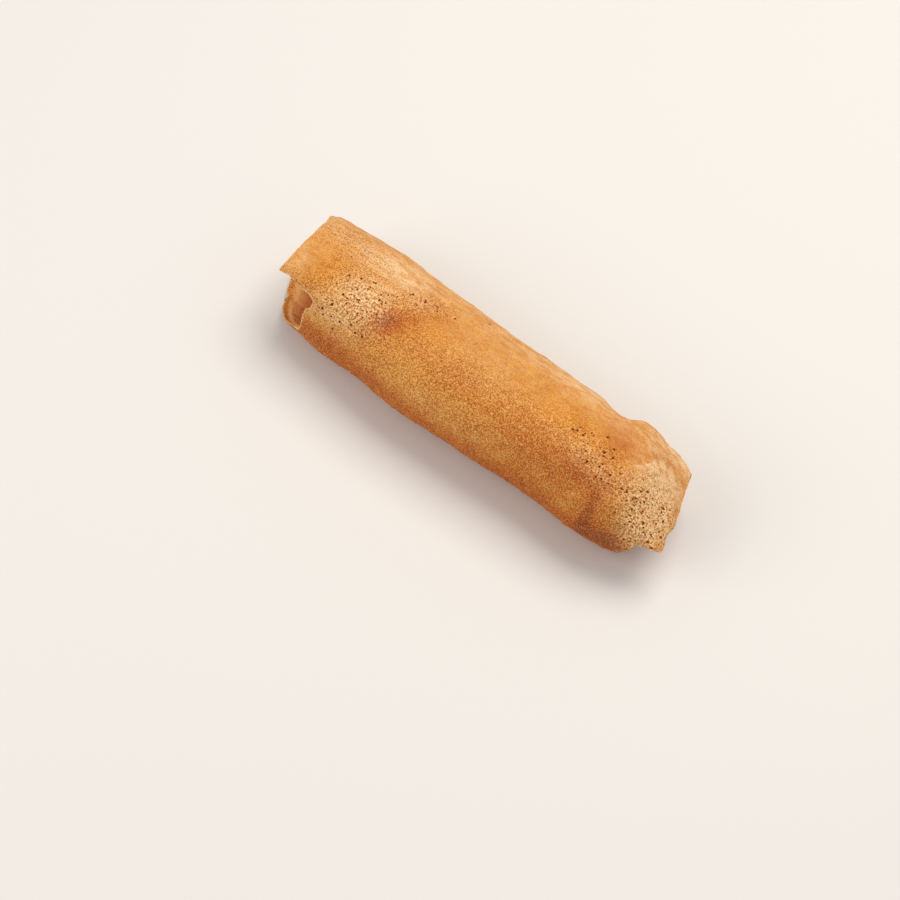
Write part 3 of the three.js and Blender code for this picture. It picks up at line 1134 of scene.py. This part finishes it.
@dataclass(frozen=True)
class FriedWheat:
    """Deep-fried wheat wrapper: dry and blistered all over, toasted golden brown, with hardly any sheen.

    Each size in millimetres is that of one grain, streak or bubble, or the room of one pinhole. A dry crust
    is rough, which gives the eye no clear highlight but a weak sheen that varies with the mottling. Where it
    is laced with burst blisters, cream flakes stand beside deep brown hollows. Painted shade darkens the
    toast, the creases and the lining deep in the mouths, and painted highlight and sheen lighten the pale
    patches and the edges.
    """

    broad_mm: float = 9.0
    mottle_mm: float = 2.4
    streak_mm: float = 1.1
    streak_squeeze: float = 0.28  # scale of the streaks along the roll, against that across it
    grain_mm: float = 0.36  # the finest real blisters are too fine to show, so it is drawn coarser
    foam_mm: float = 0.56  # coarser than real foam for the same reason
    burst: float = 0.1  # share of the foam's bubbles that have burst right through, where it is thickest
    pinhole_mm: float = 1.0
    pinhole_radii: tuple[float, float] = (0.22, 0.42)  # in rooms of a pinhole
    pierced: float = 0.48  # share of those rooms that have a pinhole, where they are closest
    bump_mm: float = 0.18
    bump: float = 0.8
    sunk: float = 0.6  # how deep a hole is in that relief
    roughness: tuple[float, float] = (0.55, 0.75)
    ior: float = 1.45
    gloss: float = 0.1
    hole_darkness: float = 0.9
    skin: tuple[Coat, ...] = (
        Coat(Tone.GROUND, (Rise(Texture.BROAD, 0.38, 0.62),)),
        Coat(Tone.GROUND_LIGHT, (Rise(Texture.MOTTLE, 0.48, 0.7, 0.0, 0.55),)),
        # Painted shade: the toast mask also darkens the near side, the creases and dents that turn from the
        # light.
        Coat(Tone.TOASTED_AND_SHADED, (Mask.TOAST_AND_SHADE, Rise(Texture.MOTTLE, 0.3, 0.6, 1.0, 0.75))),
        Coat(Tone.SCORCHED_AND_SHADED, (Rise(Mask.TOAST_AND_SHADE, 0.9, 1.6, 0.0, 0.85),)),
        # Painted highlight and sheen: the pale mask also lightens the far side and the patches that face the
        # light.
        Coat(Tone.PALE_AND_SHEEN, (Mask.PALE_AND_SHEEN, Rise(Texture.STREAKS, 0.38, 0.6, 0.4, 1.15))),
        Coat(Tone.GOLDEN_HOLLOW, (Rise(Texture.GRAIN, 0.5, 0.39), GRAINED)),
        Coat(
            Tone.GOLDEN_FLAKE,
            (Rise(Texture.GRAIN, 0.5, 0.62), GRAINED, Rise(Mask.TOAST_AND_SHADE, 0.0, 1.0, 1.0, 0.55)),
        ),
        Coat(Tone.DEEP_HOLLOW, (Rise(Texture.FOAM, 0.4, 0.16, 0.0, 0.45), FOAMED)),
        Coat(
            Tone.CREAM_FLAKE,
            (Rise(Texture.FOAM, 0.4, 0.62), Rise(Texture.GRAIN, 0.38, 0.54, 0.35, 0.95), FOAMED),
        ),
        Coat(Tone.DEEP_HOLLOW, (Rise(Texture.FOAM, 0.55, 0.4), BURST)),
        Coat(Tone.DEEP_HOLLOW, (Rise(Texture.PINHOLE, 1.0, 0.75, 0.0, 0.85), PIERCED)),
    )
    # Painted light and shade: the lining is paler than the skin against the shade in the mouths, and darker
    # deeper in.
    lining: tuple[Coat, ...] = (
        Coat(Tone.SHADED_LINING, (Rise(Mask.INSIDE, 0.1, 1.0),)),
        Coat(Tone.GROUND_DARK, (Rise(Texture.MOTTLE, 0.4, 0.65, 0.0, 0.4),)),
        Coat(Tone.GOLDEN_HOLLOW, (Rise(Texture.GRAIN, 0.5, 0.38, 0.0, 0.35),)),
    )
    breaks: tuple[Coat, ...] = (
        # Painted highlight: the rim mask also lightens the edges whose break isn't fresh.
        Coat(Tone.BROKEN_AND_HIGHLIGHT, (Mask.RIM, Rise(Texture.GRAIN, 0.42, 0.6, 0.45, 1.0))),
        Coat(Tone.DEEP_HOLLOW, (Rise(Mask.PIT, 0.0, 0.4, 0.0, 0.85),)),
    )
    holes: tuple[tuple[Rise, ...], ...] = (
        (Rise(Mask.PIT, 0.35, 0.8),),
        (Rise(Texture.PINHOLE, 0.8, 0.45), PIERCED),
        (Rise(Texture.FOAM, 0.4, 0.22), BURST),
    )

    def add_signals(self, shading: Shading) -> None:
        """Adds the masks and the textures to the shading.

        Args:
            shading: The material's nodes.
        """
        tree, sockets = shading.tree, shading.sockets
        for mask in Mask:
            node = add_node(tree, "ShaderNodeAttribute", {"attribute_name": mask.value})
            sockets[mask] = node.outputs["Fac"]
        place = add_node(tree, "ShaderNodeTexCoord").outputs["Object"]
        squeeze = (self.streak_squeeze, 1.0, 1.0)
        along = add_node(tree, "ShaderNodeMapping", Vector=place, Scale=squeeze).outputs[0]
        for texture, vector, size, detail in (
            (Texture.BROAD, place, self.broad_mm, 3.0),
            (Texture.MOTTLE, place, self.mottle_mm, 4.0),
            (Texture.GRAIN, place, self.grain_mm, 2.0),
            (Texture.STREAKS, along, self.streak_mm, 3.0),
        ):
            node = add_node(tree, "ShaderNodeTexNoise", Vector=vector, Scale=1 / (size * MM), Detail=detail)
            sockets[texture] = node.outputs["Fac"]
        for apart, chosen, size, closeness, share in (
            (Texture.FOAM, Texture.BURST, self.foam_mm, FOAMED, self.burst),
            (Texture.PINHOLE, Texture.PIERCED, self.pinhole_mm, Mask.PITTED, self.pierced),
        ):
            cells = add_node(tree, "ShaderNodeTexVoronoi", Vector=place, Scale=1 / (size * MM))
            drawn = add_node(tree, "ShaderNodeSeparateColor", Color=cells.outputs["Color"])
            settings = {"operation": "SUBTRACT", "use_clamp": True}
            wanted = shading.product(closeness, share)
            node = add_node(tree, "ShaderNodeMath", settings, in_0=wanted, in_1=drawn.outputs[0])
            sockets[apart], sockets[chosen] = cells.outputs["Distance"], node.outputs[0]
        # A pinhole's radius is drawn from its cell's second number.
        low, high = self.pinhole_radii
        radius = add_node(
            tree, "ShaderNodeMapRange", SMOOTH, in_0=drawn.outputs[1], in_1=0.0, in_2=1.0, in_3=low, in_4=high
        ).outputs["Result"]
        settings = {"operation": "DIVIDE", "use_clamp": True}
        node = add_node(tree, "ShaderNodeMath", settings, in_0=sockets[Texture.PINHOLE], in_1=radius)
        sockets[Texture.PINHOLE] = node.outputs[0]

    def hole(self, shading: Shading) -> bpy.types.NodeSocket:
        """How much of a hole there is: a pit, a pinhole or a bubble burst through.

        Args:
            shading: The material's nodes.

        Returns:
            The socket of the greatest of them.
        """
        deepest = shading.product(*self.holes[0])
        for factors in self.holes[1:]:
            deepest = add_node(
                shading.tree, "ShaderNodeMath", {"operation": "MAXIMUM", "use_clamp": True},
                in_0=deepest, in_1=shading.product(*factors),
            ).outputs[0]
        return deepest

    def colour(self, shading: Shading, hole: bpy.types.NodeSocket) -> bpy.types.NodeSocket:
        """The wrapper's colour.

        Args:
            shading: The material's nodes.
            hole: How much of a hole there is.

        Returns:
            The socket of the skin and of the lining inside the mouths, with breaks and holes over both.
        """
        skin = shading.laid(linear(Tone.GROUND_DARK.value), self.skin)
        lining = shading.laid(linear(Tone.LIT_LINING.value), self.lining)
        inside = shading.product(Rise(Mask.INSIDE, 0.0, 0.1))
        both = add_node(shading.tree, "ShaderNodeMix", LAID_OVER, in_0=inside, in_6=skin, in_7=lining)
        colour = shading.laid(both.outputs[2], self.breaks)
        dark, pit = shading.product(hole, self.hole_darkness), linear(Tone.PIT.value)
        return add_node(shading.tree, "ShaderNodeMix", LAID_OVER, in_0=dark, in_6=colour, in_7=pit).outputs[2]

    def relief(self, shading: Shading, hole: bpy.types.NodeSocket) -> bpy.types.NodeSocket:
        """The wrapper's fine relief.

        Args:
            shading: The material's nodes.
            hole: How much of a hole there is.

        Returns:
            The socket of the bumped normal.
        """
        height = shading.product(Rise(Texture.GRAIN, 0.3, 0.7), Rise(Mask.LACE, 0.0, 1.0, 0.25, 0.6))
        foam = shading.product(Rise(Texture.FOAM, 0.2, 0.6, 0.0, 0.4), FOAMED)
        for operation, value in (("ADD", foam), ("SUBTRACT", shading.product(hole, self.sunk))):
            settings = {"operation": operation, "use_clamp": True}
            height = add_node(shading.tree, "ShaderNodeMath", settings, in_0=height, in_1=value).outputs[0]
        inputs = {"Strength": self.bump, "Distance": self.bump_mm * MM, "Height": height}
        return add_node(shading.tree, "ShaderNodeBump", **inputs).outputs[0]

    def make(self) -> bpy.types.Material:
        """Builds the material.

        Returns:
            It, with nodes on Object coordinates and on the wrapper's masks.
        """
        material = bpy.data.materials.new("fried wheat wrapper")
        material.use_nodes = True
        shading = Shading(material.node_tree)
        shading.tree.nodes.clear()
        self.add_signals(shading)
        hole = self.hole(shading)
        shader = add_node(
            shading.tree, "ShaderNodeBsdfPrincipled", IOR=self.ior, Specular_IOR_Level=self.gloss,
            Base_Color=self.colour(shading, hole), Normal=self.relief(shading, hole),
            Roughness=shading.product(Rise(Texture.MOTTLE, 0.35, 0.65, *self.roughness)),
        )
        add_node(shading.tree, "ShaderNodeOutputMaterial", Surface=shader.outputs[0])
        return material


@dataclass(frozen=True)
class PaleFloor:
    """A plain floor of matt white laminate, a little warm."""

    colour: str = "#e9e6e1"
    size_mm: float = 4000.0
    roughness: float = 0.6

    def build(self) -> bpy.types.Object:
        """Makes the floor and dresses it.

        Returns:
            The floor, with its top on the level that the roll lies on.
        """
        bm = bmesh.new()
        bmesh.ops.create_grid(bm, x_segments=1, y_segments=1, size=self.size_mm * MM / 2)
        mesh = bpy.data.meshes.new("floor")
        bm.to_mesh(mesh)
        bm.free()
        floor = bpy.data.objects.new("floor", mesh)
        bpy.context.scene.collection.objects.link(floor)
        material = bpy.data.materials.new("matt white laminate")
        material.use_nodes = True
        shader = material.node_tree.nodes["Principled BSDF"]
        shader.inputs["Base Color"].default_value = linear(self.colour)
        shader.inputs["Roughness"].default_value = self.roughness
        mesh.materials.append(material)
        return floor


@dataclass(frozen=True)
class SoftLight:
    """A square soft box that faces the roll, with its place and side in millimetres and power in watts."""

    name: str
    place: tuple[float, float, float]
    side: float
    power: float
    colour: str

    def build(self) -> bpy.types.Object:
        """Makes the light.

        Returns:
            The lamp, turned to the roll.
        """
        light = bpy.data.lights.new(self.name, "AREA")
        light.size = self.side * MM
        light.energy = self.power
        light.color = linear(self.colour)[:3]
        lamp = bpy.data.objects.new(self.name, light)
        lamp.location = Vector(self.place) * MM
        lamp.rotation_euler = lamp.location.to_track_quat("Z", "Y").to_euler()
        bpy.context.scene.collection.objects.link(lamp)
        return lamp


@dataclass(frozen=True)
class Portrait:
    """The camera: its elevation, the way it stands round from -Y towards +X, its roll, distance and lens.

    aim is the point that it would look at, and beside and above are how far it is moved across its own view.
    """

    elevation: float = 58.0
    azimuth: float = 27.0
    roll: float = 11.6
    distance: float = 650.0
    lens: float = 104.0
    aim: tuple[float, float, float] = (0.0, 0.0, 13.5)
    beside: float = -7.5
    above: float = -15.5
    nearest_m: float = 0.01

    def build(self) -> bpy.types.Object:
        """Makes the camera.

        Returns:
            The scene's camera.
        """
        e, a = math.radians(self.elevation), math.radians(self.azimuth)
        back = Vector((math.sin(a) * math.cos(e), -math.cos(a) * math.cos(e), math.sin(e)))
        right = Vector((math.cos(a), math.sin(a), 0.0))
        up = back.cross(right)
        roll = Matrix.Rotation(math.radians(self.roll), 3, back)
        right, up = roll @ right, roll @ up
        camera = bpy.data.objects.new("camera", bpy.data.cameras.new("camera"))
        camera.data.lens = self.lens
        camera.data.clip_start = self.nearest_m
        place = Vector(self.aim) + back * self.distance + right * self.beside + up * self.above
        turned = Matrix((right, up, back)).transposed().to_4x4()
        camera.matrix_world = Matrix.Translation(place * MM) @ turned
        bpy.context.scene.collection.objects.link(camera)
        bpy.context.scene.camera = camera
        return camera


@dataclass(frozen=True)
class Studio:
    """Plain soft light from above and behind the roll, with a pale surround."""

    lights: tuple[SoftLight, ...] = (
        SoftLight("key", (60, 380, 780), 560, 5.0, "#fff8f0"),
        SoftLight("fill", (-430, -520, 460), 600, 2.4, "#ffffff"),
    )
    surround: str = "#ffffff"
    strength: float = 0.42

    def build(self) -> None:
        """Makes the lights and the surround, and shows colours as they are."""
        for light in self.lights:
            light.build()
        world = bpy.data.worlds.new("pale surround")
        world.use_nodes = True
        background = world.node_tree.nodes["Background"]
        background.inputs["Color"].default_value = linear(self.surround)
        background.inputs["Strength"].default_value = self.strength
        bpy.context.scene.world = world
        bpy.context.scene.view_settings.view_transform = "Standard"


def main() -> None:
    """Builds the studio and the roll, and reports each piece."""
    logging.basicConfig(level=logging.INFO, format="%(name)s: %(message)s")
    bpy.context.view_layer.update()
    Portrait().build()
    Studio().build()
    PaleFloor().build()
    wrapper = Wrapper(Form(), Frying())
    piece = wrapper.build()
    piece.data.materials.append(FriedWheat().make())
    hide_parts(NODE)
    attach(piece, BODY)
    log.info("%s: %d faces, %d pits", piece.name, len(piece.data.polygons), len(wrapper.pits))


if __name__ == "__main__":
    main()
